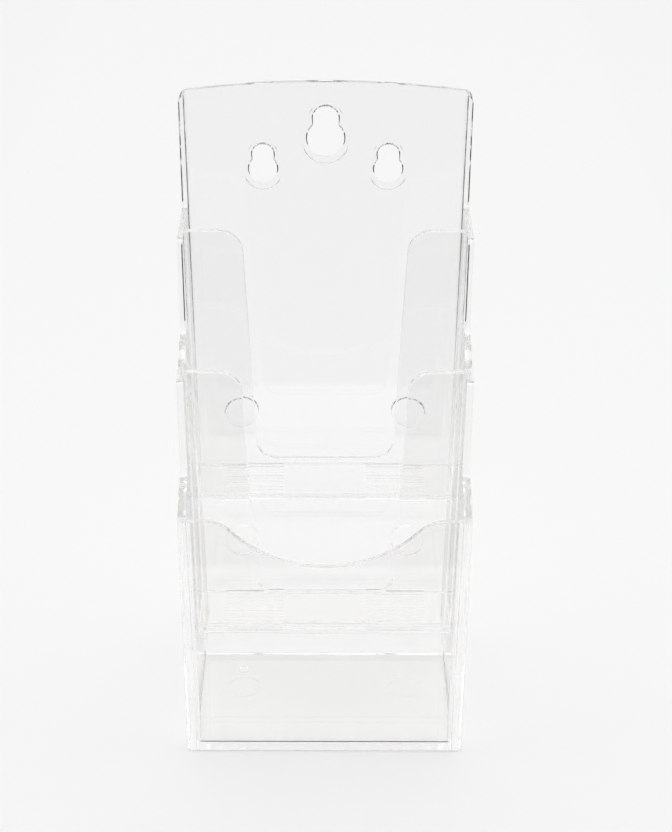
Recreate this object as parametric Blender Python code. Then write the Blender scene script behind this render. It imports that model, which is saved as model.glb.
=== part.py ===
"""A clear three-tier leaflet rack: a stepped open shell and the two dividers bonded inside it.

The rack stands on the middle of its footprint: +Z up, +X to the right, the front panel towards -Y.
Each piece is a side profile, drawn in y and z and extruded across X to its leaning sides.
The y of a profile or a cutter is measured back from the front face.
"""

import math

import bmesh
import bpy

# Driving dimensions, in metres

WIDTH = 0.1120  # over the side walls, level with the top of the back wall
FRONT_HEIGHT = 0.1085  # top of the front panel
MIDDLE_STEP = 0.0470  # from there up to the top of the middle divider
UPPER_STEP = 0.0450  # from there up to the top of the upper divider
BACK_STEP = 0.0458  # from there up to the top of the back wall at its side edges

FRONT_POCKET = 0.0292  # clear depth from the front panel to the middle divider
MIDDLE_POCKET = 0.0268  # clear depth between the two dividers
UPPER_POCKET = 0.0258  # clear depth from the upper divider to the back wall

PANEL = 0.0024  # thickness of the front panel and of the dividers
BACK = 0.0024  # thickness of the back wall
BASE = 0.0030  # thickness of the floor of the front pocket
TIER_FLOOR = 0.0025  # thickness of the raised floors
TIER_PANEL_HEIGHT = 0.1176  # from a raised floor to the top edge of its divider
SIDE_AT_TOP = 0.0019  # thickness of the side walls, level with the top of the back wall
OUTER_DRAFT = 0.0035  # how far an outer side leans out per unit of height
INNER_DRAFT = 0.0115  # how far an inner side leans out, so the walls thicken downwards

CLEARANCE = 0.0003  # left between pieces that touch

# Stepped top edge of the side walls
RISER_AHEAD = 0.0080  # how far a riser stands in front of the divider beside it
BACK_RISER_AHEAD = 0.0050  # how far the last riser stands in front of the back wall
SHOULDER_RISE = 0.0058  # height of a riser's foot over the panel in front of it
SHOULDER_FILLET = 0.0060
BACK_SHOULDER_FILLET = 0.0040  # at the foot of the last riser, which stands on a level edge
RISER_CORNER = 0.0025

# Corners of the shell
FRONT_CORNER = 0.0040
REAR_CORNER = 0.0005
TOP_CORNER = 0.0040
CROWN = 0.0033  # rise of the back wall's top edge at its middle

# Finger scoop in the front panel
SCOOP_SHOULDER = 0.0065  # straight top edge left between the scoop and the inside of a side wall
SCOOP_DROP = 0.0202
SCOOP_LIP_RADIUS = 0.0145

# Tall notch in each divider
NOTCH_SILL = 0.0176  # from the raised floor up to the bottom edge of the notch
NOTCH_HALF_TOP = 0.0318  # to the side line, where it meets the line of the top edge
NOTCH_HALF_BOTTOM = 0.0270  # to the side line, where it meets the line of the bottom edge
NOTCH_LIP_RADIUS = 0.0095
NOTCH_CORNER_RADIUS = 0.0080

# Keyholes in the back wall: drop is from the wall's top edge to the centre of the head
KEYHOLES = (
    {"name": "centre_keyhole", "x": 0.0, "drop": 0.0197, "head": 0.0069, "slot": 0.0047, "reach": 0.0127},
    {"name": "left_keyhole", "x": -0.0243, "drop": 0.0323, "head": 0.0052, "slot": 0.0039, "reach": 0.0099},
    {"name": "right_keyhole", "x": 0.0243, "drop": 0.0323, "head": 0.0052, "slot": 0.0039, "reach": 0.0099},
)
RECESS_MARGIN = 0.0020  # width of the pear-shaped recess left round a keyhole
RECESS_DEPTH = 0.0010
RECESS_DROP = 0.0010  # how far the recess's lower end sits under the centre of the keyhole's head
KEYHOLE_FLARE = 0.0007  # how much wider a keyhole is on the wall's rear face than on its front face

ARC_STEP = math.radians(15)
LONGEST_CHORD = 0.0050
ON_MIRROR = 1e-6  # nearer to the mirror line than this is on it
TREAD_STEPS = 8
THROUGH = 0.0200  # how far a cutter runs past what it cuts
CLEAR_PLASTIC = (0.95, 0.96, 0.96, 1.0)

# Places that follow from the sizes above

MIDDLE_HEIGHT = FRONT_HEIGHT + MIDDLE_STEP
UPPER_HEIGHT = MIDDLE_HEIGHT + UPPER_STEP
BACK_HEIGHT = UPPER_HEIGHT + BACK_STEP
MIDDLE_Y = PANEL + FRONT_POCKET
UPPER_Y = MIDDLE_Y + PANEL + MIDDLE_POCKET
BACK_Y = UPPER_Y + PANEL + UPPER_POCKET
DEPTH = BACK_Y + BACK
BASE_END = UPPER_Y + PANEL  # the base stops behind the leg that stands on it
MIDDLE_FLOOR = MIDDLE_HEIGHT - TIER_PANEL_HEIGHT
UPPER_FLOOR = UPPER_HEIGHT - TIER_PANEL_HEIGHT
NOTCH_DROP = TIER_PANEL_HEIGHT - NOTCH_SILL
ABOVE_ALL = BACK_HEIGHT + CROWN + THROUGH


def outer_half(z):
    """Half of the shell's outside width at the height z."""
    return WIDTH / 2 - OUTER_DRAFT * (BACK_HEIGHT - z)


def inner_half(z):
    """Half of the shell's inside width at the height z."""
    return WIDTH / 2 - SIDE_AT_TOP - INNER_DRAFT * (BACK_HEIGHT - z)


def divider_half(z):
    """Half of a divider's width at the height z."""
    return inner_half(z) - CLEARANCE


# Outlines


def arc(centre, radius, start, end):
    """Points on a circle from the angle start to the angle end, both in radians."""
    turn = abs(end - start)
    steps = max(2, math.ceil(turn / ARC_STEP), math.ceil(radius * turn / LONGEST_CHORD))
    angles = [start + (end - start) * i / steps for i in range(steps + 1)]
    return [(centre[0] + radius * math.cos(a), centre[1] + radius * math.sin(a)) for a in angles]


def mirrored(points):
    """A right-hand half and its mirror image, in order round the shape."""
    return points + [(-x, z) for x, z in reversed(points) if x > ON_MIRROR]


def tread(panel_rear, panel_top, riser, rise, fillet):
    """Edge of a side wall from a panel's top back to the foot of the next riser, an S and a fillet."""
    run = riser - fillet - panel_rear
    points = []
    for i in range(TREAD_STEPS):
        share = i / TREAD_STEPS
        points.append((panel_rear + run * share, panel_top + rise * (1 - math.cos(math.pi * share)) / 2))
    centre = (riser - fillet, panel_top + rise + fillet)
    return points + arc(centre, fillet, -math.pi / 2, 0)


def riser_top(riser, top):
    centre = (riser + RISER_CORNER, top - RISER_CORNER)
    return arc(centre, RISER_CORNER, math.pi, math.pi / 2)


def shell_profile():
    """Side view of the shell before it is hollowed, from the front's foot over the steps to the back's."""
    middle_riser = MIDDLE_Y - RISER_AHEAD
    upper_riser = UPPER_Y - RISER_AHEAD
    back_riser = BACK_Y - BACK_RISER_AHEAD
    fillet = BACK_SHOULDER_FILLET
    points = [(0, 0), (0, FRONT_HEIGHT)]
    points += tread(PANEL, FRONT_HEIGHT, middle_riser, SHOULDER_RISE, SHOULDER_FILLET)
    points += riser_top(middle_riser, MIDDLE_HEIGHT)
    points += tread(MIDDLE_Y + PANEL, MIDDLE_HEIGHT, upper_riser, SHOULDER_RISE, SHOULDER_FILLET)
    points += riser_top(upper_riser, UPPER_HEIGHT)
    points += [(UPPER_Y + PANEL, UPPER_HEIGHT)]
    points += arc((back_riser - fillet, UPPER_HEIGHT + fillet), fillet, -math.pi / 2, 0)
    points += [(back_riser, BACK_HEIGHT + CROWN), (DEPTH, BACK_HEIGHT + CROWN), (DEPTH, 0)]
    return points


def hollow_profile():
    """Side view of the shell's inside. It opens downwards behind the base."""
    return [
        (PANEL, BASE),
        (BASE_END, BASE),
        (BASE_END, -THROUGH),
        (BACK_Y, -THROUGH),
        (BACK_Y, ABOVE_ALL),
        (PANEL, ABOVE_ALL),
    ]


def above_crown():
    """Front view of what is trimmed off over the back wall's arched top edge and round corners."""
    half = outer_half(BACK_HEIGHT)
    flat = half - TOP_CORNER
    radius = (flat**2 + CROWN**2) / (2 * CROWN)
    edge = math.asin(flat / radius)
    crown = arc((0, BACK_HEIGHT + CROWN - radius), radius, math.pi / 2, math.pi / 2 - edge)
    corner = arc((flat, BACK_HEIGHT - TOP_CORNER), TOP_CORNER, math.pi / 2, 0)
    side = [(half + THROUGH, BACK_HEIGHT - TOP_CORNER), (half + THROUGH, ABOVE_ALL)]
    return mirrored(crown + corner[1:] + side)


def scoop_outline():
    """Front view of the finger scoop, a wide arc that turns over to the top edge at each end."""
    half = inner_half(FRONT_HEIGHT) - SCOOP_SHOULDER
    turn = 2 * math.atan(SCOOP_DROP / half)
    bowl_radius = half / math.sin(turn) - SCOOP_LIP_RADIUS
    bowl_centre = (0, FRONT_HEIGHT - SCOOP_DROP + bowl_radius)
    lip_centre = (half, FRONT_HEIGHT - SCOOP_LIP_RADIUS)
    bowl = arc(bowl_centre, bowl_radius, -math.pi / 2, -math.pi / 2 + turn)
    lip = arc(lip_centre, SCOOP_LIP_RADIUS, math.pi / 2 + turn, math.pi / 2)
    return mirrored(bowl + lip[1:] + [(half, FRONT_HEIGHT + THROUGH)])


def notch_outline(top):
    """Front view of a divider's notch, whose sides lean out to a rounded lip at the top edge."""
    lean = math.atan((NOTCH_HALF_TOP - NOTCH_HALF_BOTTOM) / NOTCH_DROP)
    bottom = top - NOTCH_DROP
    corner_run = NOTCH_CORNER_RADIUS * math.tan((math.pi / 2 - lean) / 2)
    corner_centre = (NOTCH_HALF_BOTTOM - corner_run, bottom + NOTCH_CORNER_RADIUS)
    lip_run = NOTCH_LIP_RADIUS * math.tan((math.pi / 2 - lean) / 2)
    lip_centre = (NOTCH_HALF_TOP + lip_run, top - NOTCH_LIP_RADIUS)
    corner = arc(corner_centre, NOTCH_CORNER_RADIUS, -math.pi / 2, -lean)
    lip = arc(lip_centre, NOTCH_LIP_RADIUS, math.pi - lean, math.pi / 2)
    return mirrored(corner + lip + [(lip_centre[0], top + THROUGH)])


def keyhole_outline(keyhole, grow):
    """Front view of a keyhole, a round head with a round-ended slot above it, grown all round."""
    slot_end = keyhole["reach"] - keyhole["slot"]
    neck = math.acos(keyhole["slot"] / keyhole["head"])
    head = arc((0, 0), keyhole["head"], -math.pi / 2, neck)
    slot = arc((0, 0), keyhole["slot"], 0, math.pi / 2)
    head_scale = 1 + grow / keyhole["head"]
    slot_scale = 1 + grow / keyhole["slot"]
    points = [(x * head_scale, z * head_scale) for x, z in head]
    points += [(x * slot_scale, slot_end + z * slot_scale) for x, z in slot]
    return placed(keyhole, mirrored(points))


def recess_outline(keyhole):
    """Front view of the recess round a keyhole, a pear that touches a circle round each of its ends."""
    head_radius = keyhole["head"] + RECESS_MARGIN
    slot_radius = keyhole["slot"] + RECESS_MARGIN
    slot_end = keyhole["reach"] - keyhole["slot"]
    tangent = math.asin((head_radius - slot_radius) / (slot_end + RECESS_DROP))
    head = arc((0, -RECESS_DROP), head_radius, -math.pi / 2, tangent)
    slot = arc((0, slot_end), slot_radius, tangent, math.pi / 2)
    return placed(keyhole, mirrored(head + slot))


def placed(keyhole, outline):
    """An outline drawn round the centre of a keyhole's head, moved to that keyhole."""
    centre_z = BACK_HEIGHT - keyhole["drop"]
    return [(keyhole["x"] + x, centre_z + z) for x, z in outline]


def upper_divider_profile():
    """Side view: a leg from the base up to the notch's top edge, with a floor behind it."""
    rear = BACK_Y - CLEARANCE
    return [
        (UPPER_Y, BASE + CLEARANCE),
        (UPPER_Y, UPPER_HEIGHT),
        (UPPER_Y + PANEL, UPPER_HEIGHT),
        (UPPER_Y + PANEL, UPPER_FLOOR),
        (rear, UPPER_FLOOR),
        (rear, UPPER_FLOOR - TIER_FLOOR),
        (UPPER_Y + PANEL, UPPER_FLOOR - TIER_FLOOR),
        (UPPER_Y + PANEL, BASE + CLEARANCE),
    ]


def middle_divider_profile():
    """Side view: a panel with its floor behind it, whose rear edge meets the upper divider's leg."""
    rear = UPPER_Y - CLEARANCE
    return [
        (MIDDLE_Y, MIDDLE_FLOOR - TIER_FLOOR),
        (MIDDLE_Y, MIDDLE_HEIGHT),
        (MIDDLE_Y + PANEL, MIDDLE_HEIGHT),
        (MIDDLE_Y + PANEL, MIDDLE_FLOOR),
        (rear, MIDDLE_FLOOR),
        (rear, MIDDLE_FLOOR - TIER_FLOOR),
    ]


# Solids


def prism(name, near, far):
    """A closed solid between two rings of points that match one to one."""
    bm = bmesh.new()
    near_verts = [bm.verts.new(point) for point in near]
    far_verts = [bm.verts.new(point) for point in far]
    bm.faces.new(near_verts)
    bm.faces.new(far_verts[::-1])
    for i in range(len(near)):
        j = (i + 1) % len(near)
        bm.faces.new((near_verts[i], far_verts[i], far_verts[j], near_verts[j]))
    bmesh.ops.recalc_face_normals(bm, faces=bm.faces)
    mesh = bpy.data.meshes.new(name)
    bm.to_mesh(mesh)
    bm.free()
    mesh.shade_smooth()
    mesh.set_sharp_from_angle(angle=math.radians(30))
    piece = bpy.data.objects.new(name, mesh)
    bpy.context.scene.collection.objects.link(piece)
    return piece


def across(name, profile, half_width):
    """Extrudes a side view across X, out to half_width(z) on each side."""
    left = [(-half_width(z), y - DEPTH / 2, z) for y, z in profile]
    right = [(half_width(z), y - DEPTH / 2, z) for y, z in profile]
    return prism(name, left, right)


def along(name, outline, front, rear):
    """Extrudes a front view along Y, from front to rear."""
    near = [(x, front - DEPTH / 2, z) for x, z in outline]
    far = [(x, rear - DEPTH / 2, z) for x, z in outline]
    return prism(name, near, far)


def keyhole_cutter(keyhole):
    """A keyhole that widens to the rear, run a little past both faces of the back wall."""
    past = KEYHOLE_FLARE
    spread = KEYHOLE_FLARE * past / BACK
    near_y = BACK_Y - past - DEPTH / 2
    far_y = DEPTH + past - DEPTH / 2
    near = [(x, near_y, z) for x, z in keyhole_outline(keyhole, -spread)]
    far = [(x, far_y, z) for x, z in keyhole_outline(keyhole, KEYHOLE_FLARE + spread)]
    return prism(keyhole["name"], near, far)


def combine(piece, tool, operation):
    """Adds a Boolean of the tool to the piece, and keeps the tool as a hidden guide."""
    tool.hide_render = True
    tool.display_type = "WIRE"
    modifier = piece.modifiers.new(tool.name, "BOOLEAN")
    modifier.operation = operation
    modifier.object = tool
    modifier.solver = "EXACT"


def round_upright_corners(piece, y, radius):
    """Rounds the outer upright corners of a piece that stand at the depth y."""
    bm = bmesh.new()
    bm.from_mesh(piece.data)
    upright = []
    for edge in bm.edges:
        ends = [vert.co for vert in edge.verts]
        tall = abs(ends[0].z - ends[1].z) > FRONT_HEIGHT / 2
        if tall and all(abs(end.y - (y - DEPTH / 2)) < CLEARANCE for end in ends):
            upright.append(edge)
    bmesh.ops.bevel(bm, geom=upright, offset=radius, segments=5, profile=0.5, affect="EDGES")
    bm.to_mesh(piece.data)
    bm.free()


def clear_plastic():
    """Moulded clear styrene, which all the pieces are made of."""
    material = bpy.data.materials.new("clear_plastic")
    material.use_nodes = True
    shader = material.node_tree.nodes["Principled BSDF"]
    shader.inputs["Base Color"].default_value = CLEAR_PLASTIC
    shader.inputs["Roughness"].default_value = 0.04
    shader.inputs["Metallic"].default_value = 0.0
    shader.inputs["IOR"].default_value = 1.58
    shader.inputs["Transmission Weight"].default_value = 1.0
    return material


# Pieces


def make_shell():
    shell = across("outer_shell", shell_profile(), outer_half)
    round_upright_corners(shell, 0, FRONT_CORNER)
    round_upright_corners(shell, DEPTH, REAR_CORNER)
    combine(shell, across("hollow", hollow_profile(), inner_half), "DIFFERENCE")
    crown_front = BACK_Y - BACK_RISER_AHEAD - THROUGH
    combine(shell, along("above_crown", above_crown(), crown_front, DEPTH + THROUGH), "DIFFERENCE")
    combine(shell, along("scoop", scoop_outline(), -THROUGH, PANEL + FRONT_POCKET / 2), "DIFFERENCE")
    for keyhole in KEYHOLES:
        recess = along(
            keyhole["name"] + "_recess", recess_outline(keyhole), BACK_Y - THROUGH, BACK_Y + RECESS_DEPTH
        )
        combine(shell, recess, "DIFFERENCE")
        combine(shell, keyhole_cutter(keyhole), "DIFFERENCE")
    return shell


def make_divider(name, profile, front, top):
    divider = across(name, profile, divider_half)
    notch = along(name + "_notch", notch_outline(top), front - THROUGH / 2, front + PANEL + THROUGH / 2)
    combine(divider, notch, "DIFFERENCE")
    return divider


def main():
    for item in list(bpy.data.objects):
        bpy.data.objects.remove(item)
    pieces = [
        make_shell(),
        make_divider("middle_divider", middle_divider_profile(), MIDDLE_Y, MIDDLE_HEIGHT),
        make_divider("upper_divider", upper_divider_profile(), UPPER_Y, UPPER_HEIGHT),
    ]
    for piece in pieces:
        piece.data.materials.append(clear_plastic())


main()
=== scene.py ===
"""Looks of the clear tiered leaflet rack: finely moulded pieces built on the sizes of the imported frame."""

import math

import bmesh
import bpy
from mathutils import Matrix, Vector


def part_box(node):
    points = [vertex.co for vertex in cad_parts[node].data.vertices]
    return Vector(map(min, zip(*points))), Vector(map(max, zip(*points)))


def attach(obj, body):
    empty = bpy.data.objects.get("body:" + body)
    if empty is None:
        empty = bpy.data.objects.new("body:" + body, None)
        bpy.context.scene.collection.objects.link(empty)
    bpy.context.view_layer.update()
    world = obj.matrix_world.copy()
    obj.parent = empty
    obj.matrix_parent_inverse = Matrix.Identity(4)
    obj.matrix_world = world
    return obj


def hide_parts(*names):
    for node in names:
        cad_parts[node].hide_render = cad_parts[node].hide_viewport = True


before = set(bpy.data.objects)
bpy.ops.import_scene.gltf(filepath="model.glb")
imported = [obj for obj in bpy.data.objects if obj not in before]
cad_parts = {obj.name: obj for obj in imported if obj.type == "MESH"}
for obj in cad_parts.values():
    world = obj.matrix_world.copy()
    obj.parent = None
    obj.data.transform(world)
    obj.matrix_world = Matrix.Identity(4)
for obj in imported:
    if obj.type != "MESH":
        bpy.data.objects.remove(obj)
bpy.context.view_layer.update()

# Places read from the frame, in metres. The front face is the lowest y, and the rack stands on z = 0.

SHELL_LOW, SHELL_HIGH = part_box("outer_shell")
MIDDLE_LOW, MIDDLE_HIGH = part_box("middle_divider")
UPPER_LOW, UPPER_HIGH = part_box("upper_divider")
CLEARANCE = 0.0003

FRONT_Y = SHELL_LOW.y
REAR_Y = SHELL_HIGH.y
MIDDLE_Y = MIDDLE_LOW.y
UPPER_Y = UPPER_LOW.y
BACK_Y = UPPER_HIGH.y + CLEARANCE
MIDDLE_TOP = MIDDLE_HIGH.z
UPPER_TOP = UPPER_HIGH.z
BASE_TOP = UPPER_LOW.z - CLEARANCE
BACK = REAR_Y - BACK_Y

# Sizes that the boxes don't give

PANEL = 0.0024
TIER_FLOOR = 0.0025
MIDDLE_FLOOR = MIDDLE_LOW.z + TIER_FLOOR
UPPER_FLOOR = UPPER_TOP - (MIDDLE_TOP - MIDDLE_FLOOR)
CROWN = 0.0033
BACK_TOP = SHELL_HIGH.z - CROWN
FRONT_TOP = 0.1085
SIDE_AT_TOP = 0.0019
OUTER_DRAFT = 0.0035
INNER_DRAFT = 0.0115
HALF_WIDTH = (SHELL_HIGH.x - SHELL_LOW.x) / 2

RISER_AHEAD = 0.0080
BACK_RISER_AHEAD = 0.0050
SHOULDER_RISE = 0.0058
SHOULDER_FILLET = 0.0060
BACK_SHOULDER_FILLET = 0.0040
RISER_CORNER = 0.0025
FRONT_CORNER = 0.0046
REAR_CORNER = 0.0005
INNER_REAR_CORNER = 0.0012
BASE_FILLET = 0.0014
FOOT_EDGE = 0.0012  # rounding round the foot of the shell
INNER_CORNER = 0.0022
TOP_CORNER = 0.0040

SCOOP_HALF_WIDTH = 0.0460
SCOOP_DROP = 0.0202
SCOOP_RADIUS = 0.0480

NOTCH_DROP = 0.1000
NOTCH_HALF_TOP = 0.0318
NOTCH_HALF_BOTTOM = 0.0270
NOTCH_LIP_RADIUS = 0.0095
NOTCH_CORNER_RADIUS = 0.0080

KEYHOLES = (
    {"name": "centre_keyhole", "x": 0.0, "drop": 0.0197, "head": 0.0069, "slot": 0.0047, "reach": 0.0127},
    {"name": "left_keyhole", "x": -0.0243, "drop": 0.0323, "head": 0.0052, "slot": 0.0039, "reach": 0.0099},
    {"name": "right_keyhole", "x": 0.0243, "drop": 0.0323, "head": 0.0052, "slot": 0.0039, "reach": 0.0099},
)
RECESS_MARGIN = 0.0020
RECESS_DEPTH = 0.0010
RECESS_DROP = 0.0010
KEYHOLE_FLARE = 0.0007

# Fine moulded detail
DISC_RADIUS = 0.0067
DISC_DEPTH = 0.0012
DISC_FLARE = 0.0004
GATE_MARK = (-0.0342, 0.0052, 0.0021, 0.0006)  # x, y, radius and depth of the small round mark on the base
BASE_DISC = (0.0335, -0.0067, 0.0066, 0.00012)  # the same for the faint mark on each side
DISC_OFFSET = 0.0345  # from the middle of the rack, level with the upper floor
DISC_OVER_FLOOR = 0.0240
PAD_NEAR = 0.0172  # the ribbed pads reach from here to PAD_FAR on either side of the middle
PAD_FAR = 0.0412
RIB_PITCH = 0.0023
RIB_WIDTH = 0.0011
RIB_HEIGHT = 0.00010
EDGE = 0.0005  # rounding of the moulded edges
EDGE_SEGMENTS = 4

ARC_STEP = math.radians(2)
LONGEST_CHORD = 0.0006
TREAD_STEPS = 80
THROUGH = 0.0200  # how far the long cutters run past what they cut
PAST_PANEL = 0.0100  # the same for the cutters of the front panel and the dividers
PAST_BASE = 0.0010  # the same for the cutter under the rack
ABOVE_ALL = SHELL_HIGH.z + THROUGH
TALL = 0.05  # an upright edge longer than this is a corner of the shell or of its pocket
LEVEL = 1e-6  # heights closer than this are the same
ALIGNED = 1e-5  # depths closer than this are the same
SAME_POINT = 2e-6
FLAT = math.radians(0.3)  # faces that meet at less than this are one face
SHARP = math.radians(35)  # edges that turn more than this are rounded

FRONT_CORNER_SEGMENTS = 40
REAR_CORNER_SEGMENTS = 4
FOOT_EDGE_SEGMENTS = 10
INNER_CORNER_SEGMENTS = 24
INNER_REAR_CORNER_SEGMENTS = 12
BASE_FILLET_SEGMENTS = 16
RIB_ANGLES = (0, 0.5, 1.0)


def outer_half(z):
    return HALF_WIDTH - OUTER_DRAFT * (BACK_TOP - z)


def inner_half(z):
    return HALF_WIDTH - SIDE_AT_TOP - INNER_DRAFT * (BACK_TOP - z)


def divider_half(z):
    return inner_half(z) - CLEARANCE


# Outlines


def arc(centre, radius, start, end):
    turn = abs(end - start)
    steps = max(2, math.ceil(turn / ARC_STEP), math.ceil(radius * turn / LONGEST_CHORD))
    angles = [start + (end - start) * i / steps for i in range(steps + 1)]
    return [(centre[0] + radius * math.cos(a), centre[1] + radius * math.sin(a)) for a in angles]


def mirrored(points):
    return points + [(-x, z) for x, z in reversed(points) if x > 1e-6]


def tread(panel_rear, panel_top, riser, rise, fillet):
    run = riser - fillet - panel_rear
    points = []
    for i in range(TREAD_STEPS):
        share = i / TREAD_STEPS
        points.append((panel_rear + run * share, panel_top + rise * (1 - math.cos(math.pi * share)) / 2))
    centre = (riser - fillet, panel_top + rise + fillet)
    return points + arc(centre, fillet, -math.pi / 2, 0)


def riser_top(riser, top):
    return arc((riser + RISER_CORNER, top - RISER_CORNER), RISER_CORNER, math.pi, math.pi / 2)


def shell_profile():
    middle_riser = MIDDLE_Y - RISER_AHEAD
    upper_riser = UPPER_Y - RISER_AHEAD
    back_riser = BACK_Y - BACK_RISER_AHEAD
    fillet = BACK_SHOULDER_FILLET
    points = [(FRONT_Y, 0), (FRONT_Y, FRONT_TOP)]
    points += tread(FRONT_Y + PANEL, FRONT_TOP, middle_riser, SHOULDER_RISE, SHOULDER_FILLET)
    points += riser_top(middle_riser, MIDDLE_TOP)
    points += tread(MIDDLE_Y + PANEL, MIDDLE_TOP, upper_riser, SHOULDER_RISE, SHOULDER_FILLET)
    points += riser_top(upper_riser, UPPER_TOP)
    points += [(UPPER_Y + PANEL, UPPER_TOP)]
    points += arc((back_riser - fillet, UPPER_TOP + fillet), fillet, -math.pi / 2, 0)
    points += [(back_riser, BACK_TOP + CROWN), (REAR_Y, BACK_TOP + CROWN), (REAR_Y, 0)]
    return points


def above_crown():
    half = outer_half(BACK_TOP)
    flat = half - TOP_CORNER
    radius = (flat**2 + CROWN**2) / (2 * CROWN)
    edge = math.asin(flat / radius)
    crown = arc((0, BACK_TOP + CROWN - radius), radius, math.pi / 2, math.pi / 2 - edge)
    corner = arc((flat, BACK_TOP - TOP_CORNER), TOP_CORNER, math.pi / 2, 0)
    side = [(half + THROUGH, BACK_TOP - TOP_CORNER), (half + THROUGH, ABOVE_ALL)]
    return mirrored(crown + corner[1:] + side)


def scoop_outline():
    turn = 2 * math.atan(SCOOP_DROP / SCOOP_HALF_WIDTH)
    lip_radius = SCOOP_HALF_WIDTH / math.sin(turn) - SCOOP_RADIUS
    bowl = arc((0, FRONT_TOP - SCOOP_DROP + SCOOP_RADIUS), SCOOP_RADIUS, -math.pi / 2, -math.pi / 2 + turn)
    lip = arc((SCOOP_HALF_WIDTH, FRONT_TOP - lip_radius), lip_radius, math.pi / 2 + turn, math.pi / 2)
    return mirrored(bowl + lip[1:] + [(SCOOP_HALF_WIDTH, FRONT_TOP + THROUGH)])


def notch_outline(top):
    lean = math.atan((NOTCH_HALF_TOP - NOTCH_HALF_BOTTOM) / NOTCH_DROP)
    bottom = top - NOTCH_DROP
    corner_run = NOTCH_CORNER_RADIUS * math.tan((math.pi / 2 - lean) / 2)
    corner_centre = (NOTCH_HALF_BOTTOM - corner_run, bottom + NOTCH_CORNER_RADIUS)
    lip_run = NOTCH_LIP_RADIUS * math.tan((math.pi / 2 - lean) / 2)
    lip_centre = (NOTCH_HALF_TOP + lip_run, top - NOTCH_LIP_RADIUS)
    corner = arc(corner_centre, NOTCH_CORNER_RADIUS, -math.pi / 2, -lean)
    lip = arc(lip_centre, NOTCH_LIP_RADIUS, math.pi - lean, math.pi / 2)
    return mirrored(corner + lip + [(lip_centre[0], top + THROUGH)])


def placed(keyhole, outline):
    centre_z = BACK_TOP - keyhole["drop"]
    return [(keyhole["x"] + x, centre_z + z) for x, z in outline]


def keyhole_outline(keyhole, grow):
    slot_end = keyhole["reach"] - keyhole["slot"]
    neck = math.acos(keyhole["slot"] / keyhole["head"])
    head = arc((0, 0), keyhole["head"], -math.pi / 2, neck)
    slot = arc((0, 0), keyhole["slot"], 0, math.pi / 2)
    head_scale = 1 + grow / keyhole["head"]
    slot_scale = 1 + grow / keyhole["slot"]
    points = [(x * head_scale, z * head_scale) for x, z in head]
    points += [(x * slot_scale, slot_end + z * slot_scale) for x, z in slot]
    return placed(keyhole, mirrored(points))


def recess_outline(keyhole):
    head_radius = keyhole["head"] + RECESS_MARGIN
    slot_radius = keyhole["slot"] + RECESS_MARGIN
    slot_end = keyhole["reach"] - keyhole["slot"]
    tangent = math.asin((head_radius - slot_radius) / (slot_end + RECESS_DROP))
    head = arc((0, -RECESS_DROP), head_radius, -math.pi / 2, tangent)
    slot = arc((0, slot_end), slot_radius, tangent, math.pi / 2)
    return placed(keyhole, mirrored(head + slot))


def circle(x, z, radius):
    return arc((x, z), radius, 0, 2 * math.pi)[:-1]


# Solids


def prism(name, near, far):
    bm = bmesh.new()
    near_verts = [bm.verts.new(point) for point in near]
    far_verts = [bm.verts.new(point) for point in far]
    bm.faces.new(near_verts)
    bm.faces.new(far_verts[::-1])
    for i in range(len(near)):
        j = (i + 1) % len(near)
        bm.faces.new((near_verts[i], far_verts[i], far_verts[j], near_verts[j]))
    bmesh.ops.recalc_face_normals(bm, faces=bm.faces)
    mesh = bpy.data.meshes.new(name)
    bm.to_mesh(mesh)
    bm.free()
    piece = bpy.data.objects.new(name, mesh)
    bpy.context.scene.collection.objects.link(piece)
    return piece


def across(name, profile, half_width):
    left = [(-half_width(z), y, z) for y, z in profile]
    right = [(half_width(z), y, z) for y, z in profile]
    return prism(name, left, right)


def along(name, outline, front, rear):
    return prism(name, [(x, front, z) for x, z in outline], [(x, rear, z) for x, z in outline])


def combine(piece, tool, operation):
    modifier = piece.modifiers.new(tool.name, "BOOLEAN")
    modifier.operation = operation
    modifier.object = tool
    modifier.solver = "EXACT"
    graph = bpy.context.evaluated_depsgraph_get()
    made = bpy.data.meshes.new_from_object(piece.evaluated_get(graph))
    piece.modifiers.clear()
    old = piece.data
    piece.data = made
    bpy.data.meshes.remove(old)
    bpy.data.objects.remove(tool)


def bevel_where(piece, wanted, radius, segments):
    """Rounds the edges for which wanted(edge) is true."""
    bm = bmesh.new()
    bm.from_mesh(piece.data)
    picked = [edge for edge in bm.edges if wanted(edge)]
    bmesh.ops.bevel(
        bm,
        geom=picked,
        offset=radius,
        segments=segments,
        profile=0.5,
        affect="EDGES",
        clamp_overlap=True,
        loop_slide=True,
    )
    bm.to_mesh(piece.data)
    bm.free()


def upright_at(y):
    def wanted(edge):
        ends = [vert.co for vert in edge.verts]
        return abs(ends[0].z - ends[1].z) > TALL and all(abs(end.y - y) < ALIGNED for end in ends)

    return wanted


def level_below(height):
    def wanted(edge):
        return all(vert.co.z < height + LEVEL for vert in edge.verts)

    return wanted


def tidy_mesh(piece):
    """Joins flat neighbours into one face and drops points that lie along straight edges."""
    bm = bmesh.new()
    bm.from_mesh(piece.data)
    bmesh.ops.remove_doubles(bm, verts=bm.verts, dist=SAME_POINT)
    bmesh.ops.dissolve_limit(bm, angle_limit=FLAT, verts=bm.verts, edges=bm.edges)
    bm.to_mesh(piece.data)
    bm.free()


def sharp(edge):
    return len(edge.link_faces) == 2 and edge.calc_face_angle() > SHARP


def soften(piece):
    """Rounds every moulded edge of the piece and shades its small facets flat."""
    tidy_mesh(piece)
    bevel_where(piece, sharp, EDGE, EDGE_SEGMENTS)
    for polygon in piece.data.polygons:
        polygon.use_smooth = False


# Material


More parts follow.
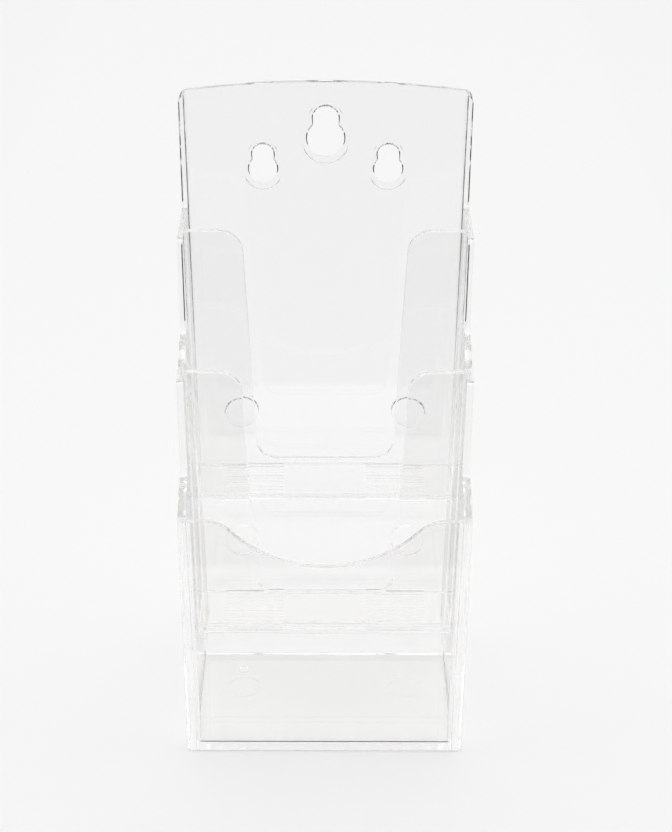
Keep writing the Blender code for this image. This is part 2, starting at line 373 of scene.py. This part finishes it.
def clear_plastic():
    material = bpy.data.materials.new("clear moulded styrene")
    material.use_nodes = True
    nodes, links = material.node_tree.nodes, material.node_tree.links
    shader = nodes["Principled BSDF"]
    shader.inputs["Base Color"].default_value = (0.995, 0.995, 0.993, 1)
    shader.inputs["Metallic"].default_value = 0
    shader.inputs["IOR"].default_value = 1.585
    shader.inputs["Transmission Weight"].default_value = 1
    place = nodes.new("ShaderNodeTexCoord")
    haze = nodes.new("ShaderNodeTexNoise")
    haze.inputs["Scale"].default_value = 26
    haze.inputs["Detail"].default_value = 4
    haze_range = nodes.new("ShaderNodeMapRange")
    haze_range.inputs["To Min"].default_value = 0.0
    haze_range.inputs["To Max"].default_value = 0.035
    links.new(place.outputs["Object"], haze.inputs["Vector"])
    links.new(haze.outputs["Fac"], haze_range.inputs["Value"])
    links.new(haze_range.outputs["Result"], shader.inputs["Roughness"])
    flow = nodes.new("ShaderNodeTexNoise")
    flow.inputs["Scale"].default_value = 14
    flow.inputs["Detail"].default_value = 1.5
    ripple = nodes.new("ShaderNodeBump")
    ripple.inputs["Strength"].default_value = 0.003
    ripple.inputs["Distance"].default_value = 0.002
    links.new(place.outputs["Object"], flow.inputs["Vector"])
    links.new(flow.outputs["Fac"], ripple.inputs["Height"])
    links.new(ripple.outputs["Normal"], shader.inputs["Normal"])
    body = nodes.new("ShaderNodeVolumeAbsorption")
    body.inputs["Color"].default_value = (0.982, 0.984, 0.976, 1)
    body.inputs["Density"].default_value = 8
    links.new(body.outputs["Volume"], nodes["Material Output"].inputs["Volume"])
    return material


# Pieces


def keyhole_cutter(keyhole):
    past = KEYHOLE_FLARE
    spread = KEYHOLE_FLARE * past / BACK
    near = [(x, BACK_Y - past, z) for x, z in keyhole_outline(keyhole, -spread)]
    far = [(x, REAR_Y + past, z) for x, z in keyhole_outline(keyhole, KEYHOLE_FLARE + spread)]
    return prism("keyhole", near, far)


def cut_disc(piece, x, z, face_y):
    """A round ejector mark, a little wider at its bottom than at its mouth."""
    near = [(u, face_y - DISC_FLARE, v) for u, v in circle(x, z, DISC_RADIUS - DISC_FLARE**2 / DISC_DEPTH)]
    far = [(u, face_y + DISC_DEPTH, v) for u, v in circle(x, z, DISC_RADIUS + DISC_FLARE)]
    combine(piece, prism("disc", near, far), "DIFFERENCE")


def cut_floor_mark(piece, x, y, radius, depth):
    near = [(u, v, BASE_TOP - depth) for u, v in circle(x, y, radius)]
    far = [(u, v, BASE_TOP + depth) for u, v in circle(x, y, radius)]
    combine(piece, prism("mark", near, far), "DIFFERENCE")


def make_shell():
    shell = across("shell", shell_profile(), outer_half)
    bevel_where(shell, upright_at(FRONT_Y), FRONT_CORNER, FRONT_CORNER_SEGMENTS)
    bevel_where(shell, upright_at(REAR_Y), REAR_CORNER, REAR_CORNER_SEGMENTS)
    bevel_where(shell, level_below(0), FOOT_EDGE, FOOT_EDGE_SEGMENTS)
    pocket = across(
        "pocket",
        [
            (FRONT_Y + PANEL, BASE_TOP),
            (BACK_Y, BASE_TOP),
            (BACK_Y, ABOVE_ALL),
            (FRONT_Y + PANEL, ABOVE_ALL),
        ],
        inner_half,
    )
    bevel_where(pocket, upright_at(FRONT_Y + PANEL), INNER_CORNER, INNER_CORNER_SEGMENTS)
    bevel_where(pocket, upright_at(BACK_Y), INNER_REAR_CORNER, INNER_REAR_CORNER_SEGMENTS)
    bevel_where(pocket, level_below(BASE_TOP), BASE_FILLET, BASE_FILLET_SEGMENTS)
    combine(shell, pocket, "DIFFERENCE")
    base_end = UPPER_Y + PANEL
    over_base = BASE_TOP + PAST_BASE
    under = across(
        "under",
        [(base_end, -THROUGH), (BACK_Y, -THROUGH), (BACK_Y, over_base), (base_end, over_base)],
        inner_half,
    )
    combine(shell, under, "DIFFERENCE")
    crown_front = BACK_Y - BACK_RISER_AHEAD - THROUGH
    combine(shell, along("above", above_crown(), crown_front, REAR_Y + THROUGH), "DIFFERENCE")
    combine(shell, along("scoop", scoop_outline(), FRONT_Y - THROUGH, FRONT_Y + PANEL + PAST_PANEL), "DIFFERENCE")
    for keyhole in KEYHOLES:
        recess = along("recess", recess_outline(keyhole), BACK_Y - THROUGH, BACK_Y + RECESS_DEPTH)
        combine(shell, recess, "DIFFERENCE")
        combine(shell, keyhole_cutter(keyhole), "DIFFERENCE")
    for side in (-1, 1):
        cut_disc(shell, side * DISC_OFFSET, UPPER_FLOOR + DISC_OVER_FLOOR, BACK_Y)
        x, y, radius, depth = BASE_DISC
        cut_floor_mark(shell, side * x, y, radius, depth)
    cut_floor_mark(shell, *GATE_MARK)
    soften(shell)
    return shell


def upper_profile():
    rear = BACK_Y - CLEARANCE
    return [
        (UPPER_Y, UPPER_LOW.z),
        (UPPER_Y, UPPER_TOP),
        (UPPER_Y + PANEL, UPPER_TOP),
        (UPPER_Y + PANEL, UPPER_FLOOR),
        (rear, UPPER_FLOOR),
        (rear, UPPER_FLOOR - TIER_FLOOR),
        (UPPER_Y + PANEL, UPPER_FLOOR - TIER_FLOOR),
        (UPPER_Y + PANEL, UPPER_LOW.z),
    ]


def middle_profile():
    rear = UPPER_Y - CLEARANCE
    return [
        (MIDDLE_Y, MIDDLE_LOW.z),
        (MIDDLE_Y, MIDDLE_TOP),
        (MIDDLE_Y + PANEL, MIDDLE_TOP),
        (MIDDLE_Y + PANEL, MIDDLE_FLOOR),
        (rear, MIDDLE_FLOOR),
        (rear, MIDDLE_LOW.z),
    ]


def add_ribs(divider, front, rear, floor):
    """Low round ribs across the two pads of a raised floor, joined into the moulding."""
    half_ridge = [(RIB_WIDTH / 2 * math.cos(a), RIB_HEIGHT * math.sin(a)) for a in RIB_ANGLES]
    crest = half_ridge + [(0, RIB_HEIGHT)] + [(-y, z) for y, z in reversed(half_ridge)]
    foot = [(-RIB_WIDTH / 2, -TIER_FLOOR / 4), (RIB_WIDTH / 2, -TIER_FLOOR / 4)]
    bm = bmesh.new()
    count = int((rear - front - RIB_WIDTH) / RIB_PITCH) + 1
    margin = (rear - front - (count - 1) * RIB_PITCH) / 2
    for low_x, high_x in ((-PAD_FAR, -PAD_NEAR), (PAD_NEAR, PAD_FAR)):
        for i in range(count):
            middle = front + margin + i * RIB_PITCH
            rings = []
            for x in (low_x, high_x):
                rings.append([bm.verts.new((x, middle + y, floor + z)) for y, z in crest + foot])
            near, far = rings
            bm.faces.new(near)
            bm.faces.new(far[::-1])
            for j in range(len(near)):
                k = (j + 1) % len(near)
                bm.faces.new((near[j], far[j], far[k], near[k]))
    bmesh.ops.recalc_face_normals(bm, faces=bm.faces)
    mesh = bpy.data.meshes.new("ribs")
    bm.to_mesh(mesh)
    bm.free()
    ribs = bpy.data.objects.new("ribs", mesh)
    bpy.context.scene.collection.objects.link(ribs)
    combine(divider, ribs, "UNION")


def make_middle():
    divider = across("middle_tier", middle_profile(), divider_half)
    notch = along("notch", notch_outline(MIDDLE_TOP), MIDDLE_Y - PAST_PANEL, MIDDLE_Y + PANEL + PAST_PANEL)
    combine(divider, notch, "DIFFERENCE")
    soften(divider)
    add_ribs(divider, MIDDLE_Y + PANEL, UPPER_Y, MIDDLE_FLOOR)
    return divider


def make_upper():
    divider = across("upper_tier", upper_profile(), divider_half)
    notch = along("notch", notch_outline(UPPER_TOP), UPPER_Y - PAST_PANEL, UPPER_Y + PANEL + PAST_PANEL)
    combine(divider, notch, "DIFFERENCE")
    for side in (-1, 1):
        offset = DISC_OFFSET - INNER_DRAFT * (UPPER_FLOOR - MIDDLE_FLOOR)
        cut_disc(divider, side * offset, MIDDLE_FLOOR + DISC_OVER_FLOOR, UPPER_Y)
    soften(divider)
    add_ribs(divider, UPPER_Y + PANEL, BACK_Y, UPPER_FLOOR)
    return divider


# Studio

FLOOR_SIZE = 12
FLOOR_GAP = 0.0003
DARK_UP_TO = -0.65  # y of the directions in front of the rack where the room is at its dimmest
BRIGHT_FROM = -0.12
FRONT_LIGHT = 0.20
REAR_LIGHT = 0.96
CEILING_POWER = 50
CEILING_HEIGHT = 2.6
CEILING_SIZE = 6
MOST_BOUNCES = 160
# Glowing sheets that paint dim reflections and a painted shadow into the clear plastic
PAINTED_REFLECTION_START = 0.13  # in front of the rack
PAINTED_REFLECTION_SIDE = 0.22  # from the middle of the rack
PAINTED_REFLECTION_REACH = 3
PAINTED_REFLECTION_LIFT = 0.001
PAINTED_FOOT_SHADOW_DEPTH = 0.0070  # depth of the painted shadow under the front edge, a dark sheet where the foot meets the floor
FRONT_PAINTED_REFLECTION_LIGHT = 0.40
SIDE_PAINTED_REFLECTION_LIGHT = 0.05
PAINTED_FOOT_SHADOW_LIGHT = 0.01
PAINTED_FOOT_SHADOW_DEEPEST = 2  # the painted shadow under the foot shows only in the first reflections
CAMERA_HEIGHT = 0.4889
CAMERA_AHEAD = 0.5954  # in front of the front face
CAMERA_TILT = math.radians(29.32)
CAMERA_ROLL = math.radians(0.14)
LENS = 81.54
SHIFT_X = 0.0132


def make_painted_reflection(scene, name, panes, lift, light, deepest=MOST_BOUNCES):
    """A glowing sheet that paints dim reflections and shade into the clear plastic. It shows only in what the
    clear plastic reflects, at most deepest times.
    """
    bm = bmesh.new()
    for corners in panes:
        bm.faces.new([bm.verts.new((x, y, lift)) for x, y in corners])
    mesh = bpy.data.meshes.new(name)
    bm.to_mesh(mesh)
    bm.free()
    dim = bpy.data.materials.new(name)
    dim.use_nodes = True
    nodes, links = dim.node_tree.nodes, dim.node_tree.links
    nodes.remove(nodes["Principled BSDF"])
    glow = nodes.new("ShaderNodeEmission")
    glow.inputs["Color"].default_value = (1, 1, 1, 1)
    glow.inputs["Strength"].default_value = light
    unseen = nodes.new("ShaderNodeBsdfTransparent")
    path = nodes.new("ShaderNodeLightPath")
    reflected = nodes.new("ShaderNodeMath")
    reflected.operation = "COMPARE"
    reflected.inputs[1].default_value = (deepest + 1) / 2
    reflected.inputs[2].default_value = deepest / 2
    mix = nodes.new("ShaderNodeMixShader")
    links.new(path.outputs["Glossy Depth"], reflected.inputs[0])
    links.new(reflected.outputs["Value"], mix.inputs["Fac"])
    links.new(unseen.outputs["BSDF"], mix.inputs[1])
    links.new(glow.outputs["Emission"], mix.inputs[2])
    links.new(mix.outputs["Shader"], nodes["Material Output"].inputs["Surface"])
    mesh.materials.append(dim)
    painted_sheet = bpy.data.objects.new(name, mesh)
    painted_sheet.visible_camera = False
    painted_sheet.visible_diffuse = False
    painted_sheet.visible_shadow = False
    scene.collection.objects.link(painted_sheet)


def make_painted_reflections(scene):
    near = FRONT_Y - PAINTED_REFLECTION_START
    far = near - PAINTED_REFLECTION_REACH
    inner, outer = PAINTED_REFLECTION_SIDE, PAINTED_REFLECTION_REACH
    # Painted reflections: a dim glowing sheet in front of the rack and darker ones at its sides show only in the
    # plastic's reflections, where they paint the room dimmer
    front_pane = ((-inner, near), (-inner, far), (inner, far), (inner, near))
    make_painted_reflection(scene, "front_painted_reflection", [front_pane], PAINTED_REFLECTION_LIFT, FRONT_PAINTED_REFLECTION_LIGHT)
    for side in (-1, 1):
        x_near, x_far = side * inner, side * outer
        corners = ((x_near, far), (x_far, far), (x_far, outer), (x_near, outer))
        make_painted_reflection(scene, "left_painted_reflection" if side < 0 else "right_painted_reflection", [corners], PAINTED_REFLECTION_LIFT, SIDE_PAINTED_REFLECTION_LIGHT)
    # Painted shadow: a near-black sheet under the front edge stands in for the contact shadow where the foot
    # meets the floor
    edge = inner_half(0)
    rear = FRONT_Y + PAINTED_FOOT_SHADOW_DEPTH
    make_painted_reflection(
        scene,
        "painted_foot_shadow",
        [((-edge, FRONT_Y), (edge, FRONT_Y), (edge, rear), (-edge, rear))],
        -FLOOR_GAP / 2,
        PAINTED_FOOT_SHADOW_LIGHT,
        PAINTED_FOOT_SHADOW_DEEPEST,
    )


def make_studio():
    scene = bpy.context.scene
    scene.view_settings.view_transform = "Standard"
    scene.cycles.max_bounces = MOST_BOUNCES
    scene.cycles.transmission_bounces = MOST_BOUNCES
    scene.cycles.glossy_bounces = MOST_BOUNCES
    scene.cycles.transparent_max_bounces = 16
    scene.cycles.blur_glossy = 0
    world = bpy.data.worlds.new("studio")
    scene.world = world
    world.use_nodes = True
    background = world.node_tree.nodes["Background"]
    background.inputs["Color"].default_value = (1, 1, 1, 1)
    sky, sky_links = world.node_tree.nodes, world.node_tree.links
    place = sky.new("ShaderNodeTexCoord")
    split = sky.new("ShaderNodeSeparateXYZ")
    sweep = sky.new("ShaderNodeMapRange")
    sweep.inputs["From Min"].default_value = DARK_UP_TO
    sweep.inputs["From Max"].default_value = BRIGHT_FROM
    sweep.inputs["To Min"].default_value = FRONT_LIGHT
    sweep.inputs["To Max"].default_value = REAR_LIGHT
    sky_links.new(place.outputs["Generated"], split.inputs["Vector"])
    sky_links.new(split.outputs["Y"], sweep.inputs["Value"])
    sky_links.new(sweep.outputs["Result"], background.inputs["Strength"])

    bm = bmesh.new()
    bmesh.ops.create_grid(bm, x_segments=4, y_segments=4, size=FLOOR_SIZE / 2)
    mesh = bpy.data.meshes.new("floor")
    bm.to_mesh(mesh)
    bm.free()
    floor = bpy.data.objects.new("floor", mesh)
    floor.location.z = -FLOOR_GAP
    scene.collection.objects.link(floor)
    paper = bpy.data.materials.new("pale paper")
    paper.use_nodes = True
    shader = paper.node_tree.nodes["Principled BSDF"]
    shader.inputs["Base Color"].default_value = (0.9, 0.9, 0.9, 1)
    shader.inputs["Roughness"].default_value = 0.9
    shader.inputs["Specular IOR Level"].default_value = 0.1
    mesh.materials.append(paper)

    data = bpy.data.lights.new("overhead", "AREA")
    data.shape = "SQUARE"
    data.size = CEILING_SIZE
    data.energy = CEILING_POWER
    lamp = bpy.data.objects.new("overhead", data)
    lamp.location.z = CEILING_HEIGHT
    scene.collection.objects.link(lamp)
    # Painted reflections and a painted shadow, seen only in what the plastic reflects
    make_painted_reflections(scene)

    data = bpy.data.cameras.new("camera")
    data.lens = LENS
    data.sensor_width = 36
    data.shift_x = SHIFT_X
    data.clip_start = 0.01
    data.clip_end = 50
    camera = bpy.data.objects.new("camera", data)
    camera.location = (0, FRONT_Y - CAMERA_AHEAD, CAMERA_HEIGHT)
    turn = Matrix.Rotation(math.pi / 2 - CAMERA_TILT, 4, "X") @ Matrix.Rotation(CAMERA_ROLL, 4, "Z")
    camera.rotation_euler = turn.to_euler()
    scene.collection.objects.link(camera)
    scene.camera = camera


plastic = clear_plastic()
pieces = (
    (make_shell(), "outer_shell"),
    (make_middle(), "middle_divider"),
    (make_upper(), "upper_divider"),
)
for made, node in pieces:
    made.data.materials.clear()
    made.data.materials.append(plastic)
    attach(made, "root")
    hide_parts(node)
make_studio()
